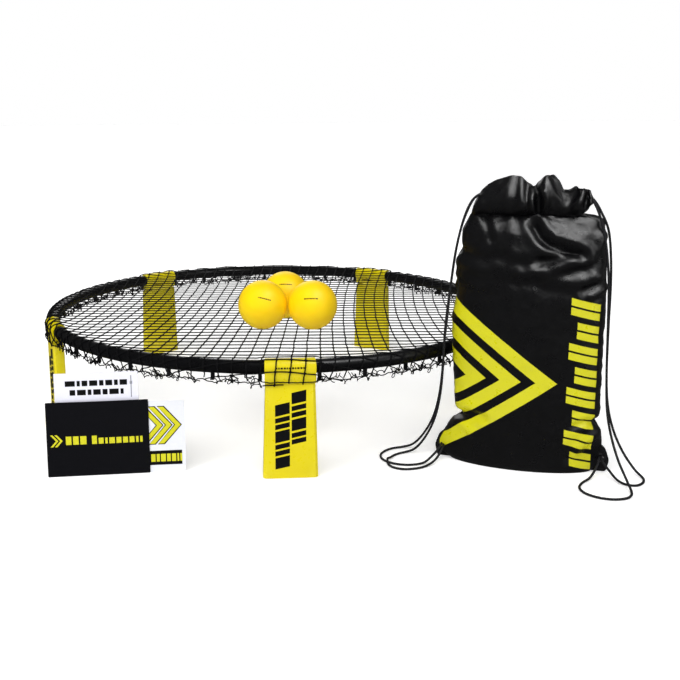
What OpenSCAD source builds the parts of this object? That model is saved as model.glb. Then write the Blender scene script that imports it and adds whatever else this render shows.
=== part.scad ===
// Roundnet set: a five-legged ring with a stretched net, three balls, a drawstring
// bag and three printed paper pieces, laid out on a flat surface.
// Millimetres, +Z up. The origin is the middle of the whole layout, on the ground.
// The player's side of the set faces -Y.

/* [Ring] */
// Diameter of the ring measured over the rim tubes
ring_d = 912; // [900:1:920]
// Height of the rim tube's centre line above the ground
rim_z = 185; // [175:1:200]
// Outside diameter of the rim tube
tube_d = 23; // [22:0.5:24]
// Wall thickness of the rim tube
tube_wall = 2.5; // [2:0.5:3]
// How far each tube's spigot reaches into the next tube
spigot_length = 30; // [20:1:36]
// Turn of the front leg away from straight ahead, in degrees
front_turn = 3.1; // [0:0.1:6]

/* [Legs] */
// Width of a leg at its hinge
leg_top_w = 80; // [74:1:84]
// Width of a leg at its foot
leg_foot_w = 90; // [84:1:96]
// Thickness of a leg from its outer face to its inner face
leg_depth = 20; // [16:1:22]
// Wall thickness of the hollow leg
leg_wall = 2.5; // [2:0.5:4]
// Diameter of the hinge pin
pin_d = 5; // [4:0.5:6]

/* [Net] */
// Height of the net's upper face
net_z = 195; // [192:1:197]
// Thickness of the net
net_t = 2; // [1.5:0.5:3]
// Hooks under each rim tube
hooks_each = 7; // [5:1:8]

/* [Balls] */
// Diameter of a ball
ball_d = 89; // [86:1:90]
// Wall thickness of a ball
ball_wall = 3; // [2:0.5:4]

/* [Bag] */
// Thickness of the bag's cloth
cloth = 2.5; // [2:0.5:3]
// Turn of the bag's face towards the ring, in degrees
bag_turn = 17.5; // [10:0.5:25]
// Diameter of the drawstrings
cord_d = 4; // [3:0.5:4]

/* [Paper pieces] */
// Width of the folded leaflet
leaflet_w = 135; // [120:1:148]
// Height of the leaflet along its slope
leaflet_h = 171; // [150:1:180]
// Width of the black card
card_w = 166; // [150:1:178]
// Height of the black card along its slope
card_h = 124; // [105:1:127]
// Width of the sticker sheet
sticker_w = 88; // [80:1:95]
// Height of the sticker sheet along its slope
sticker_h = 120; // [105:1:125]
// Angle that the paper pieces lean back from upright, in degrees
paper_lean = 5; // [3:0.5:7]

/* [Hidden] */
$fn = 96;

// Where the ring's centre stands in the layout
ring_x = -42;
ring_y = 2;

// Ring
tube_r = tube_d / 2;
ring_r = ring_d / 2 - tube_r;
leg_count = 5;
step_a = 360 / leg_count;
yellow = [0.95, 0.83, 0.05];
black = [0.07, 0.07, 0.08];

// Leg head: a sleeve round the rim, with the hinge under it
head_w = 80;
head_wall = 2.5;
head_r = tube_r + head_wall;
head_half_a = asin(head_w / 2 / ring_r);
slip = 0.05;
apron_out = 12;
apron_t = 2.6;
pin_r = pin_d / 2;
pin_x = -4;
pin_drop = 19.2;
knuckle_r = 5.2;
knuckle_half = 23.2;
knuckle_gap = 0.4;
leg_top_drop = 25.4;
leg_out = 11;
web_t = 8;
ledge_drop = 25.1;
pin_half = 37;

// Net
net_gap = 0.3;
net_r = ring_r - head_r - net_gap;
edge_gap = 0.2;
edge_in = head_r + edge_gap;
edge_out = edge_in + net_t;
// Angles round the tube where the net's edge ends, outside and inside the ring
edge_out_a = -15;
edge_in_a = 148;
hook_h = 11;
hook_t = 4;
hook_w = 6;
lip_reach = 7.5;
lip_h = 2;
hook_margin_a = 1;

// Balls: centre of each in plan, from the ring's centre
ball_r = ball_d / 2;
ball_gap = 0.2;
ball_places = [[-21, -225], [69, -231], [21, -136]];
valve_r = 3;
valve_turns = [150, 40, 95];
valve_tilt = 100;
valve_sunk = 0.5;

// Bag: centre of its base, from the ring's centre
bag_place = [411, -395];
// Rows from the base up: height, half width, half depth
bag_rows = [
    [0, 100, 34], [12, 110, 42], [60, 113, 48], [120, 115, 51], [200, 118, 52],
    [270, 119, 50], [340, 114, 44], [390, 106, 36], [418, 96, 29], [436, 86, 24]
];
bag_cols = 16;
base_inset = 3;
bag_round = 0.8;
hem_z = 436;
hem_h = 48;
hem_wall = 7;
hem_half = [86, 24];
hem_step_a = 10;
tab_t = 3;
eyelet_at = [128, 24];
eyelet_hole = 4.5;
eyelet_barrel = 5.5;
eyelet_flange = 8;
flange_t = 0.8;
knot_r = 7;
knot_back = 9.5;

// Drawstring routes in the bag's own axes, from the hem to the corner eyelet
left_outer = [
    [-82, 6, 450], [-92, 6, 442], [-101, 5, 424], [-110, 3, 396], [-117, -1, 358],
    [-122, -8, 310], [-127, -18, 250], [-129, -23, 205], [-130, -23, 165],
    [-135, -14, 116], [-145, 0, 72], [-161, 11, 36], [-181, 15, 10], [-203, 11, 2],
    [-222, -6, 2], [-230, -32, 2], [-222, -55, 2], [-201, -68, 2], [-176, -67, 2],
    [-154, -54, 3], [-140, -36, 12], [-131, -16, 21], [-130.1, 6, 24]
];
left_inner = [
    [-82, -6, 450], [-92, -8, 442], [-101, -10, 424], [-109, -12, 396], [-116, -15, 358],
    [-121, -20, 310], [-125, -27, 250], [-128, -31, 205], [-129, -31, 160],
    [-133, -23, 114], [-142, -13, 70], [-157, -6, 34], [-175, -5, 9], [-193, -12, 2],
    [-206, -28, 2], [-211, -46, 3.5], [-213, -61, 6.6], [-210, -74, 3.5], [-199, -85, 2],
    [-180, -88, 2], [-160, -78, 2], [-145, -62, 3], [-134, -42, 8], [-127, -20, 19],
    [-125.9, 6, 24]
];
right_outer = [
    [82, 6, 450], [93, 8, 443], [105, 9, 424], [117, 10, 397], [123, 10, 358],
    [126, 10, 310], [127, 10, 240], [129, 10, 165], [134, 10, 112], [145, 10, 70],
    [162, 8, 34], [181, 0, 9], [193, -16, 2], [193, -36, 2], [183, -52, 2],
    [168, -54, 2], [154, -44, 4], [141, -28, 13], [131, -14, 21.5], [130.1, 6, 24]
];
right_inner = [
    [82, -6, 450], [92, -9, 442], [101, -12, 424], [110, -15, 396], [117, -17, 358],
    [122, -18, 310], [125, -18, 240], [128, -18, 165], [132, -22, 112], [140, -32, 74],
    [152, -48, 40], [166, -66, 14], [173, -86, 2.5], [167, -106, 2], [148, -118, 2],
    [124, -118, 2], [104, -106, 2], [96, -86, 2], [101, -64, 2], [112, -46, 4],
    [121, -26, 13], [125.9, -8, 22], [125.9, 6, 24]
];
cord_sides = 8;

// Paper pieces: middle of the leaflet's front edge on the ground, from the ring's centre
paper_place = [-290, -432];
paper_turn = 6;
leaf_t = 0.6;
card_t = 1;
sticker_t = 0.6;
sheet_gap = 0.6;
sticker_x = 98;

// ---- placing -------------------------------------------------------------

module at_ring() {
    translate([ring_x, ring_y, 0]) children();
}

// Axes of leg number i: +X points outwards from the ring, +Y runs along the rim,
// and the origin is the rim's centre line
module at_leg(i) {
    at_ring() rotate([0, 0, front_turn + i * step_a - 90])
        translate([ring_r, 0, rim_z]) children();
}

module at_bag() {
    at_ring() translate([bag_place.x, bag_place.y, 0])
        rotate([0, 0, -bag_turn]) children();
}

// Axes of the leaning paper: X along its foot, Z up its slope
module at_paper() {
    at_ring() translate([paper_place.x, paper_place.y, 0])
        rotate([0, 0, paper_turn]) rotate([-paper_lean, 0, 0]) children();
}

// ---- rim -----------------------------------------------------------------

// A curved rod of radius r about the ring's centre, along the rim's centre line
module rim_arc(from_a, arc_a, r) {
    rotate([0, 0, from_a]) rotate_extrude(angle = arc_a, $fn = 180)
        translate([ring_r, rim_z]) circle(r, $fn = 48);
}

// A hollow rim tube with a thinner spigot at one end that plugs into the next tube
module rim_tube(i) {
    start_a = front_turn + i * step_a - 90;
    spigot_a = spigot_length / ring_r * 180 / PI;
    bore_r = tube_r - tube_wall;
    spigot_r = bore_r - slip;
    spigot_wall = 2;
    collar_a = 1;
    past_a = 0.5;
    color(black) at_ring() difference() {
        union() {
            rim_arc(start_a, step_a, tube_r);
            rim_arc(start_a + step_a - collar_a / 2, collar_a / 2 + spigot_a, spigot_r);
        }
        rim_arc(start_a - past_a, step_a - collar_a + past_a, bore_r);
        rim_arc(start_a + step_a - 2 * collar_a, 2 * collar_a + spigot_a + past_a,
            spigot_r - spigot_wall);
    }
}

// Hooks under one rim tube that hold the net's edge
module net_hooks(i) {
    end_a = head_half_a + hook_margin_a;
    pitch_a = (step_a - 2 * end_a) / (hooks_each - 1);
    color(black) for (k = [0 : hooks_each - 1])
        at_ring() rotate([0, 0, front_turn + i * step_a - 90 + end_a + k * pitch_a])
            translate([ring_r, 0, rim_z - tube_r - hook_h]) {
                translate([-hook_t / 2, -hook_w / 2, 0]) cube([hook_t, hook_w, hook_h]);
                translate([-hook_t / 2, -hook_w / 2, 0]) cube([lip_reach, hook_w, lip_h]);
            }
}

// ---- legs ----------------------------------------------------------------

module head(i) {
    end_w = head_w / 2 - knuckle_half - knuckle_gap;
    color(yellow) difference() {
        union() {
            at_ring() rim_arc(front_turn + i * step_a - 90 - head_half_a,
                2 * head_half_a, head_r);
            at_leg(i) difference() {
                union() {
                    // Ears on both sides of the leg's knuckle
                    for (s = [-1, 1]) translate([0, s * (head_w / 2 - end_w / 2), 0]) {
                        translate([pin_x - knuckle_r, -end_w / 2, -pin_drop])
                            cube([apron_out - pin_x + knuckle_r, end_w, pin_drop]);
                        translate([pin_x, end_w / 2, -pin_drop])
                            rotate([90, 0, 0]) cylinder(r = knuckle_r, h = end_w);
                    }
                    // Apron that covers the knuckle from outside
                    translate([apron_out - apron_t, -head_w / 2, -ledge_drop])
                        cube([apron_t, head_w, ledge_drop]);
                }
                translate([pin_x, head_w / 2 + 1, -pin_drop])
                    rotate([90, 0, 0]) cylinder(r = pin_r + slip, h = head_w + 2);
            }
        }
        at_ring() rim_arc(front_turn + i * step_a - 90 - 2 * head_half_a,
            4 * head_half_a, tube_r + slip);
    }
}

module leg(i) {
    length = rim_z - leg_top_drop;
    top_half = leg_top_w / 2;
    foot_half = leg_foot_w / 2;
    inner = leg_out - leg_depth;
    color(yellow) at_leg(i) difference() {
        union() {
            // Tapered hollow blade, wider at the foot
            translate([leg_out, 0, -rim_z]) rotate([90, 0, -90])
                linear_extrude(leg_depth) polygon([
                    [-foot_half, 0], [foot_half, 0],
                    [top_half, length], [-top_half, length]
                ]);
            // Knuckle and the web that carries it
            translate([pin_x, knuckle_half, -pin_drop])
                rotate([90, 0, 0]) cylinder(r = knuckle_r, h = 2 * knuckle_half);
            translate([pin_x - web_t / 2, -knuckle_half, -leg_top_drop])
                cube([web_t, 2 * knuckle_half, leg_top_drop - pin_drop]);
        }
        translate([leg_out - leg_wall, 0, -rim_z + leg_wall]) rotate([90, 0, -90])
            linear_extrude(leg_depth - 2 * leg_wall) polygon([
                [-foot_half + leg_wall, 0], [foot_half - leg_wall, 0],
                [top_half - leg_wall, length - 2 * leg_wall],
                [-top_half + leg_wall, length - 2 * leg_wall]
            ]);
        translate([pin_x, knuckle_half + 1, -pin_drop]) rotate([90, 0, 0])
            cylinder(r = pin_r + slip, h = 2 * knuckle_half + 2);
    }
}

module hinge_pins() {
    color("silver") for (i = [0 : leg_count - 1]) at_leg(i)
        translate([pin_x, pin_half, -pin_drop])
            rotate([90, 0, 0]) cylinder(r = pin_r, h = 2 * pin_half);
}

// ---- net -----------------------------------------------------------------

module net() {
    color(black) at_ring() translate([0, 0, net_z - net_t])
        cylinder(r = net_r, h = net_t, $fn = 180);
}

// The net's edge, which wraps over the rim and down its outer side
module net_edge() {
    reach = 3 * edge_out;
    color(black) at_ring() rotate_extrude($fn = 180) translate([ring_r, rim_z])
        intersection() {
            difference() {
                circle(edge_out, $fn = 64);
                circle(edge_in, $fn = 64);
            }
            polygon([
                [0, 0], [reach * cos(edge_out_a), reach * sin(edge_out_a)], [reach, reach],
                [-reach, reach], [reach * cos(edge_in_a), reach * sin(edge_in_a)]
            ]);
        }
}

// ---- balls ---------------------------------------------------------------

module at_ball(i) {
    at_ring() translate([ball_places[i].x, ball_places[i].y, net_z + ball_gap + ball_r])
        children();
}

// Axis of a ball's valve: sideways, away from the player
module at_valve(i) {
    at_ball(i) rotate([0, 0, valve_turns[i]]) rotate([0, valve_tilt, 0]) children();
}

module ball(i) {
    color([0.98, 0.82, 0.1]) difference() {
        at_ball(i) sphere(ball_r);
        at_ball(i) sphere(ball_r - ball_wall);
        at_valve(i) translate([0, 0, ball_r - 2 * ball_wall])
            cylinder(r = valve_r, h = 3 * ball_wall, $fn = 32);
    }
}

module valve(i) {
    color("goldenrod") at_valve(i) translate([0, 0, ball_r - 2 * ball_wall])
        cylinder(r = valve_r - slip, h = 2 * ball_wall - valve_sunk, $fn = 32);
}

// ---- bag -----------------------------------------------------------------

// One point of a bag row; a runs from 0 at one side seam to 180 at the other
function bag_point(w, d, z, a) = [-w * cos(a), -d * pow(sin(a), bag_round), z];

// Grid of a panel's points, shrunk inwards by t. Its first row is the base's middle line.
function panel_grid(t) = [
    for (a = [0 : 180 / bag_cols : 180]) [-(bag_rows[0][1] - base_inset - t) * cos(a), 0, t],
    for (i = [0 : len(bag_rows) - 1], a = [0 : 180 / bag_cols : 180])
        bag_point(bag_rows[i][1] - t, bag_rows[i][2] - t,
            i == 0 ? t : bag_rows[i][0], a)
];

// A thin panel between an outer and an inner grid of the same size
module panel(outer, inner, cols) {
    rows = len(outer) / cols;
    n = len(outer);
    function at(i, j) = i * cols + j;
    // The cells' diagonals mirror each other about the panel's middle
    skin = [
        for (i = [0 : rows - 2], j = [0 : cols - 2])
            let (a = at(i, j), b = at(i + 1, j), c = at(i, j + 1), d = at(i + 1, j + 1))
            each j < (cols - 1) / 2 ? [[a, b, d], [a, d, c]] : [[a, b, c], [c, b, d]]
    ];
    lining = [for (f = skin) [f[0] + n, f[2] + n, f[1] + n]];
    // Border points in order round the panel
    rim = concat(
        [for (j = [0 : cols - 2]) at(0, j)],
        [for (i = [0 : rows - 2]) at(i, cols - 1)],
        [for (j = [cols - 1 : -1 : 1]) at(rows - 1, j)],
        [for (i = [rows - 1 : -1 : 1]) at(i, 0)]
    );
    edges = [
        for (k = [0 : len(rim) - 1]) let (p = rim[k], q = rim[(k + 1) % len(rim)])
            each [[p, q, q + n], [p, q + n, p + n]]
    ];
    polyhedron(concat(outer, inner), concat(skin, lining, edges));
}

module bag_half() {
    panel(panel_grid(0), panel_grid(cloth), bag_cols + 1);
}

module bag_front() {
    color(black) at_bag() bag_half();
}

module bag_back() {
    color(black) at_bag() rotate([0, 0, 180]) bag_half();
}

// The folded channel round the mouth that the drawstrings run in
module bag_hem() {
    function oval(w, d) =
        [for (a = [0 : hem_step_a : 360 - hem_step_a]) [w * cos(a), d * sin(a)]];
    color(black) at_bag() translate([0, 0, hem_z]) linear_extrude(hem_h) difference() {
        polygon(oval(hem_half.x, hem_half.y));
        polygon(oval(hem_half.x - hem_wall, hem_half.y - hem_wall));
    }
}

module at_eyelet(side) {
    at_bag() translate([side * eyelet_at.x, 0, eyelet_at.y]) rotate([90, 0, 0]) children();
}

// Corner patch that carries an eyelet, sewn to the side seam
module corner_tab(side) {
    seam_gap = 0.3;
    color(black) difference() {
        at_bag() scale([side, 1, 1]) translate([0, tab_t / 2, 0]) rotate([90, 0, 0])
            linear_extrude(tab_t) polygon([
                [100 + seam_gap, 0], [138, 0], [142, 20], [135, 40],
                [113 + seam_gap, 60], [110 + seam_gap, 12]
            ]);
        at_eyelet(side) translate([0, 0, -tab_t]) cylinder(r = eyelet_barrel, h = 2 * tab_t);
    }
}

module eyelets() {
    half = tab_t / 2 + flange_t;
    color("dimgray") for (side = [-1, 1]) at_eyelet(side) rotate_extrude() polygon([
        [eyelet_hole, -half], [eyelet_flange, -half], [eyelet_flange, -tab_t / 2],
        [eyelet_barrel, -tab_t / 2], [eyelet_barrel, tab_t / 2],
        [eyelet_flange, tab_t / 2], [eyelet_flange, half], [eyelet_hole, half]
    ]);
}

module knots() {
    color(black) for (side = [-1, 1]) at_eyelet(side) translate([0, 0, -knot_back])
        sphere(knot_r, $fn = 32);
}

// ---- drawstrings ---------------------------------------------------------

function unit(v) = v / norm(v);
function tangent(path, i) =
    unit(path[min(i + 1, len(path) - 1)] - path[max(i - 1, 0)]);
function square_to(v, t) = unit(v - (v * t) * t);

// One normal for each point, carried along the path without twist
function carried(path) = [
    for (i = 0, n = square_to([0, 1, 0], tangent(path, 0)); i < len(path);
        i = i + 1, n = i < len(path) ? square_to(n, tangent(path, i)) : n) n
];

module cord(path) {
    normals = carried(path);
    points = [
        for (i = [0 : len(path) - 1], k = [0 : cord_sides - 1])
            let (t = tangent(path, i), n = normals[i], b = cross(t, n),
                a = k * 360 / cord_sides)
            path[i] + cord_d / 2 * (cos(a) * n + sin(a) * b)
    ];
    last = (len(path) - 1) * cord_sides;
    walls = [
        for (i = [0 : len(path) - 2], k = [0 : cord_sides - 1])
            let (p = i * cord_sides + k, q = i * cord_sides + (k + 1) % cord_sides)
            each [[p, p + cord_sides, q], [q, p + cord_sides, q + cord_sides]]
    ];
    caps = [
        [for (k = [0 : cord_sides - 1]) k],
        [for (k = [cord_sides - 1 : -1 : 0]) last + k]
    ];
    color(black) at_bag() polyhedron(points, concat(walls, caps));
}

// ---- paper pieces --------------------------------------------------------

// A leaflet folded over at its top, so that it stands like a tent
module leaflet() {
    rise = leaflet_h * cos(paper_lean);
    run = leaflet_h * sin(paper_lean);
    foot = leaf_t / cos(paper_lean);
    color("white") at_ring() translate([paper_place.x, paper_place.y, 0])
        rotate([0, 0, paper_turn]) translate([-leaflet_w / 2, 0, 0]) rotate([90, 0, 90])
            linear_extrude(leaflet_w) polygon([
                [0, 0], [run, rise], [2 * run, 0], [2 * run - foot, 0],
                [run, rise - leaf_t / sin(paper_lean)], [foot, 0]
            ]);
}

module sticker_sheet() {
    color("white") at_paper()
        translate([sticker_x - sticker_w / 2, -sheet_gap - sticker_t, 0])
            cube([sticker_w, sticker_t, sticker_h]);
}

module card() {
    color(black) at_paper()
        translate([-card_w / 2, -2 * sheet_gap - sticker_t - card_t, 0])
            cube([card_w, card_t, card_h]);
}

rim_tube(0);  // rim_tube_1
rim_tube(1);  // rim_tube_2
rim_tube(2);  // rim_tube_3
rim_tube(3);  // rim_tube_4
rim_tube(4);  // rim_tube_5
net_hooks(0);  // net_hooks_1
net_hooks(1);  // net_hooks_2
net_hooks(2);  // net_hooks_3
net_hooks(3);  // net_hooks_4
net_hooks(4);  // net_hooks_5
head(0);  // head_front
head(1);  // head_right
head(2);  // head_back_right
head(3);  // head_back_left
head(4);  // head_left
leg(0);  // leg_front
leg(1);  // leg_right
leg(2);  // leg_back_right
leg(3);  // leg_back_left
leg(4);  // leg_left
hinge_pins();
net();
net_edge();
ball(0);  // ball_left
ball(1);  // ball_right
ball(2);  // ball_back
valve(0);  // valve_left
valve(1);  // valve_right
valve(2);  // valve_back
bag_front();
bag_back();
bag_hem();
corner_tab(-1);  // corner_tab_left
corner_tab(1);  // corner_tab_right
eyelets();
knots();
cord(left_outer);  // cord_left_outer
cord(left_inner);  // cord_left_inner
cord(right_outer);  // cord_right_outer
cord(right_inner);  // cord_right_inner
leaflet();
card();
sticker_sheet();
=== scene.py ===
"""Looks for the roundnet set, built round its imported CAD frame. Metres, +Z up."""
import random
from itertools import product
from math import asin, atan2, cos, exp, hypot, pi, radians, sin, sqrt

import bmesh
import bpy
import numpy as np
from mathutils import Matrix, Vector, noise


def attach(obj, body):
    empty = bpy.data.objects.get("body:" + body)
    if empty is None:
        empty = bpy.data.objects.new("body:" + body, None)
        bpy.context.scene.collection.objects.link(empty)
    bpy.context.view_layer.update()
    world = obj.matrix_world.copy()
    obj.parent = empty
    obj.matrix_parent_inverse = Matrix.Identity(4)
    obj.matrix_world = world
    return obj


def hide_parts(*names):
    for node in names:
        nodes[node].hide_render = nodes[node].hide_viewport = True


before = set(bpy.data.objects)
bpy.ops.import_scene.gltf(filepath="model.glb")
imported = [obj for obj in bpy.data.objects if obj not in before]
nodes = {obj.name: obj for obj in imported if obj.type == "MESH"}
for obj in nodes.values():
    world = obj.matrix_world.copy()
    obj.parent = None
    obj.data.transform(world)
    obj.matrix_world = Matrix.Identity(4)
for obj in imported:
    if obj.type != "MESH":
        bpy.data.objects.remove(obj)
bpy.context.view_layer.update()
rng = random.Random(7)
noise.seed_set(7)

MM = 0.001


def turned(degrees, axis):
    return Matrix.Rotation(radians(degrees), 4, axis)


# The ring: centre in plan, radius and height of the rim tube's centre line, sleeve radius
RING = Vector((-0.042, 0.002, 0))
RIM_R, RIM_Z, HEAD_R = 0.4445, 0.185, 0.014
FRONT_TURN = radians(3.1)
LEGS = ("front", "right", "back_right", "back_left", "left")
# Half the length of a leg head along the rim
HEAD_HALF_W = 0.040
HEAD_HALF = asin(HEAD_HALF_W / RIM_R)
NET_Z = 0.194
BAG = Matrix.Translation(RING + Vector((0.411, -0.395, 0))) @ turned(-17.5, "Z")
PAPER_AT = Matrix.Translation(RING + Vector((-0.290, -0.432, 0))) @ turned(6, "Z")
LEAN = radians(5)
PAPER = PAPER_AT @ Matrix.Rotation(-LEAN, 4, "X")


def ring_turn(i):
    """Axes at the ring's centre, with +X out through leg i."""
    return Matrix.Translation(RING) @ Matrix.Rotation(leg_angle(i), 4, "Z")


def leg_angle(i):
    return FRONT_TURN + radians(72 * i - 90)


def leg_axes(i):
    """Axes on the rim's centre line: +X outwards, +Y along the rim."""
    return ring_turn(i) @ Matrix.Translation((RIM_R, 0, RIM_Z))


scene = bpy.context.scene


def add_object(name, data):
    obj = bpy.data.objects.new(name, data)
    scene.collection.objects.link(obj)
    return obj


# ---- camera

CAM_BACK, CAM_HEIGHT, CAM_ROLL = 1.8712, 0.5921, -0.0082
cam_data = bpy.data.cameras.new("camera")
cam_data.lens, cam_data.sensor_width = 49.2, 36
cam_data.shift_x, cam_data.shift_y = 0.0965, -0.0476
cam = add_object("camera", cam_data)
cam_place = Vector((RING.x, RING.y - CAM_BACK, CAM_HEIGHT))
aim = Vector((RING.x, RING.y, RIM_Z)) - cam_place
cam.matrix_world = (Matrix.Translation(cam_place) @ aim.to_track_quat("-Z", "Y").to_matrix().to_4x4()
                    @ Matrix.Rotation(CAM_ROLL, 4, "Z"))
scene.camera = cam

# ---- materials


def srgb(r, g, b):
    def lin(c):
        c /= 255
        return c / 12.92 if c <= 0.04045 else ((c + 0.055) / 1.055) ** 2.4
    return (lin(r), lin(g), lin(b), 1)


def maths(op):
    return lambda self, other: self.mat.math(op, self, other)


class Val:
    """A material's socket; arithmetic on it adds Math nodes."""

    def __init__(self, mat, socket):
        self.mat, self.socket = mat, socket

    __add__, __sub__ = maths("ADD"), maths("SUBTRACT")
    __mul__, __truediv__ = maths("MULTIPLY"), maths("DIVIDE")
    __gt__, __lt__ = maths("GREATER_THAN"), maths("LESS_THAN")


class Mat:
    """A procedural material under construction."""

    def __init__(self, name, rough, gloss=0.5, **fixed):
        self.mat = bpy.data.materials.new(name)
        self.mat.use_nodes = True
        self.nt = self.mat.node_tree
        self.bsdf = self.nt.nodes["Principled BSDF"]
        fixed.update(Roughness=rough, Specular_IOR_Level=gloss)
        for key, value in fixed.items():
            self.bsdf.inputs[key.replace("_", " ")].default_value = value

    def node(self, kind, props=None, **sockets):
        n = self.nt.nodes.new("ShaderNode" + kind)
        for key, value in (props or {}).items():
            setattr(n, key, value)
        for key, value in sockets.items():
            self.feed(n.inputs[key.replace("_", " ")], value)
        return n

    def out(self, node, socket):
        return Val(self, node.outputs[socket])

    def feed(self, socket, value):
        if isinstance(value, Val):
            self.nt.links.new(value.socket, socket)
        else:
            socket.default_value = value

    def math(self, op, *values):
        n = self.node("Math", {"operation": op})
        for socket, value in zip(n.inputs, values):
            self.feed(socket, value)
        return self.out(n, 0)

    def coords(self, kind="Object"):
        return self.out(self.node("TexCoord"), kind)

    def split(self, vector):
        n = self.node("SeparateXYZ", None, Vector=vector)
        return [self.out(n, axis) for axis in "XYZ"]

    def noise(self, scale, detail=3.0, rough=0.55):
        return self.out(self.node("TexNoise", None, Scale=scale, Detail=detail,
                                  Roughness=rough, Vector=self.coords()), "Fac")

    def cells(self, scale):
        """Distance from the middle of the nearest Voronoi cell."""
        return self.out(self.node("TexVoronoi", None, Scale=scale,
                                  Vector=self.coords()), "Distance")

    def remap(self, value, low, high, out_low=0, out_high=1):
        return self.out(self.node("MapRange", None, Value=value, From_Min=low,
                                  From_Max=high, To_Min=out_low, To_Max=out_high), "Result")

    def mix(self, factor, a, b):
        n = self.node("Mix", {"data_type": "RGBA"})
        # The colour mix's own sockets: factor 0, colours 6 and 7, result 2
        for index, value in ((0, factor), (6, a), (7, b)):
            self.feed(n.inputs[index], value)
        return self.out(n, 2)

    def colour(self, value):
        self.feed(self.bsdf.inputs["Base Color"], value)

    def roughness(self, low, high, scale, detail=4):
        """Roughness that drifts between low and high."""
        self.feed(self.bsdf.inputs["Roughness"],
                  self.remap(self.noise(scale, detail), 0.3, 0.7, low, high))

    def bump(self, *layers):
        """layers: (height, distance in metres), coarse first. Gives the finished material."""
        normal = None
        for height, distance in layers:
            n = self.node("Bump", None, Height=height, Strength=1.0, Distance=distance)
            if normal is not None:
                self.feed(n.inputs["Normal"], normal)
            normal = self.out(n, "Normal")
        self.feed(self.bsdf.inputs["Normal"], normal)
        return self.mat

    def edge_wear(self, inside, worn, low=0.53, high=0.62):
        """Colour that turns lighter along sharp edges."""
        point = self.out(self.node("NewGeometry"), "Pointiness")
        patchy = self.remap(point, low, high, 0, 0.7) * self.remap(self.noise(90), 0.35, 0.7)
        return self.mix(patchy, inside, worn)

    def bands(self, phase, share=0.5):
        """1 where phase's fraction is under share, else 0."""
        return self.math("FRACT", phase) < share


def plastic(name, base, dark, light, rough, gloss=0.5):
    m = Mat(name, rough, gloss)
    m.colour(m.edge_wear(m.mix(m.remap(m.noise(14), 0.35, 0.65), dark, base), light))
    m.roughness(rough - 0.06, rough + 0.1, 160)
    return m.bump((m.noise(30, 2), 0.0001), (m.noise(1400, 2), 0.00003))


def make_twine(lay=0.0013):
    m = Mat("twine", 0.7, 0.12)
    m.colour(m.mix(m.noise(60), srgb(8, 8, 9), srgb(26, 26, 28)))
    x, y, z = m.split(m.coords())
    twist = m.math("SINE", (x + y + z * 1.7) * (2 * pi / lay))
    return m.bump((twist, 0.00018), (m.noise(2500, 3), 0.0001))


def make_braid():
    """Round braid: two families of strands that cross, from the curve's own UV."""
    m = Mat("cord_braid", 0.55, 0.22)
    u, v, _ = m.split(m.coords("UV"))
    length, turn = u * 150, v * 4
    strands = [m.math("ABSOLUTE", m.math("SINE", phase * pi))
               for phase in (length + turn, length - turn)]
    height = m.math("MAXIMUM", *strands)
    # Darker down between the strands: painted shade in the braid's grooves, while the crowns keep the
    # cord's own colour
    m.colour(m.mix(m.remap(height, 0.5, 1), CORD_GROOVE_SHADE, CORD_LIGHT))
    return m.bump((height, 0.0003), (m.noise(1800, 3), 0.00008))


def make_knot_braid():
    """The cord's finish where there is no curve to follow."""
    m = Mat("cord_knot", 0.55, 0.22)
    cells = m.cells(750.0)
    # Darker towards the edge of each cell: painted shade in the grooves between strands, while the cell
    # middles keep the cord's own colour
    m.colour(m.mix(m.remap(cells, 0.1, 0.7), CORD_LIGHT, CORD_GROOVE_SHADE))
    return m.bump((m.math("SUBTRACT", 1.0, cells), 0.0003))


def make_nylon():
    """Coated black nylon with yellow chevrons and a column of slanted blocks, from the UV:
    u is metres from the front's middle line, v metres up from the base."""
    m = Mat("bag_nylon", 0.3, 0.62)
    u, v, _ = m.split(m.coords("UV"))
    # Three nested chevrons: across is the distance along +u from each arm's line
    first, last, tip_v, front_edge = -0.0913, 0.054, 0.156, -0.4
    across = u + m.math("ABSOLUTE", v - tip_v) * 1.32
    chevrons = m.bands((across - first) / 0.0557, 0.6) * ((across > first) * (across < last))
    chevrons = chevrons * (u > front_edge)
    # Column of eight slanted blocks, every other one wider, each with a thin slit
    row = (v + u * 0.28) / 0.036
    within = m.math("FRACT", row)
    slit = (within > 0.33) * (within < 0.42)
    rows = m.bands(row, 0.74) * m.math("SUBTRACT", 1.0, slit)
    left = m.math("SUBTRACT", 0.079, m.bands(row / 2.0) * 0.011)
    column = (u > left) * (u < 0.112) * ((row > 1.0) * (row < 9.0))
    ink = m.math("MAXIMUM", chevrons, column * rows)
    ink = ink * m.math("MAXIMUM", m.remap(m.noise(420, 4), 0.28, 0.34), 0.82)
    cloth = m.mix(m.noise(25), srgb(3, 3, 4), srgb(9, 9, 11))
    yellow = m.mix(m.noise(18), srgb(191, 187, 5), srgb(204, 200, 11))
    m.colour(m.mix(ink, cloth, yellow))
    m.roughness(0.25, 0.39, 60)
    thread = 2 * pi / 0.0011
    weave = m.math("SINE", u * thread) * m.math("SINE", v * thread)
    return m.bump((m.noise(38, 4, 0.5), 0.0010), (m.noise(170, 4), 0.0002), (weave, 0.00005),
                  (ink, 0.00012))


def make_vinyl():
    m = Mat("tab_vinyl", 0.42, 0.2)
    m.colour(m.edge_wear(m.mix(m.noise(40), srgb(12, 12, 13), srgb(22, 22, 24)), srgb(60, 60, 62)))
    return m.bump((m.noise(120, 3), 0.0004), (m.cells(900.0), 0.0001))


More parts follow.
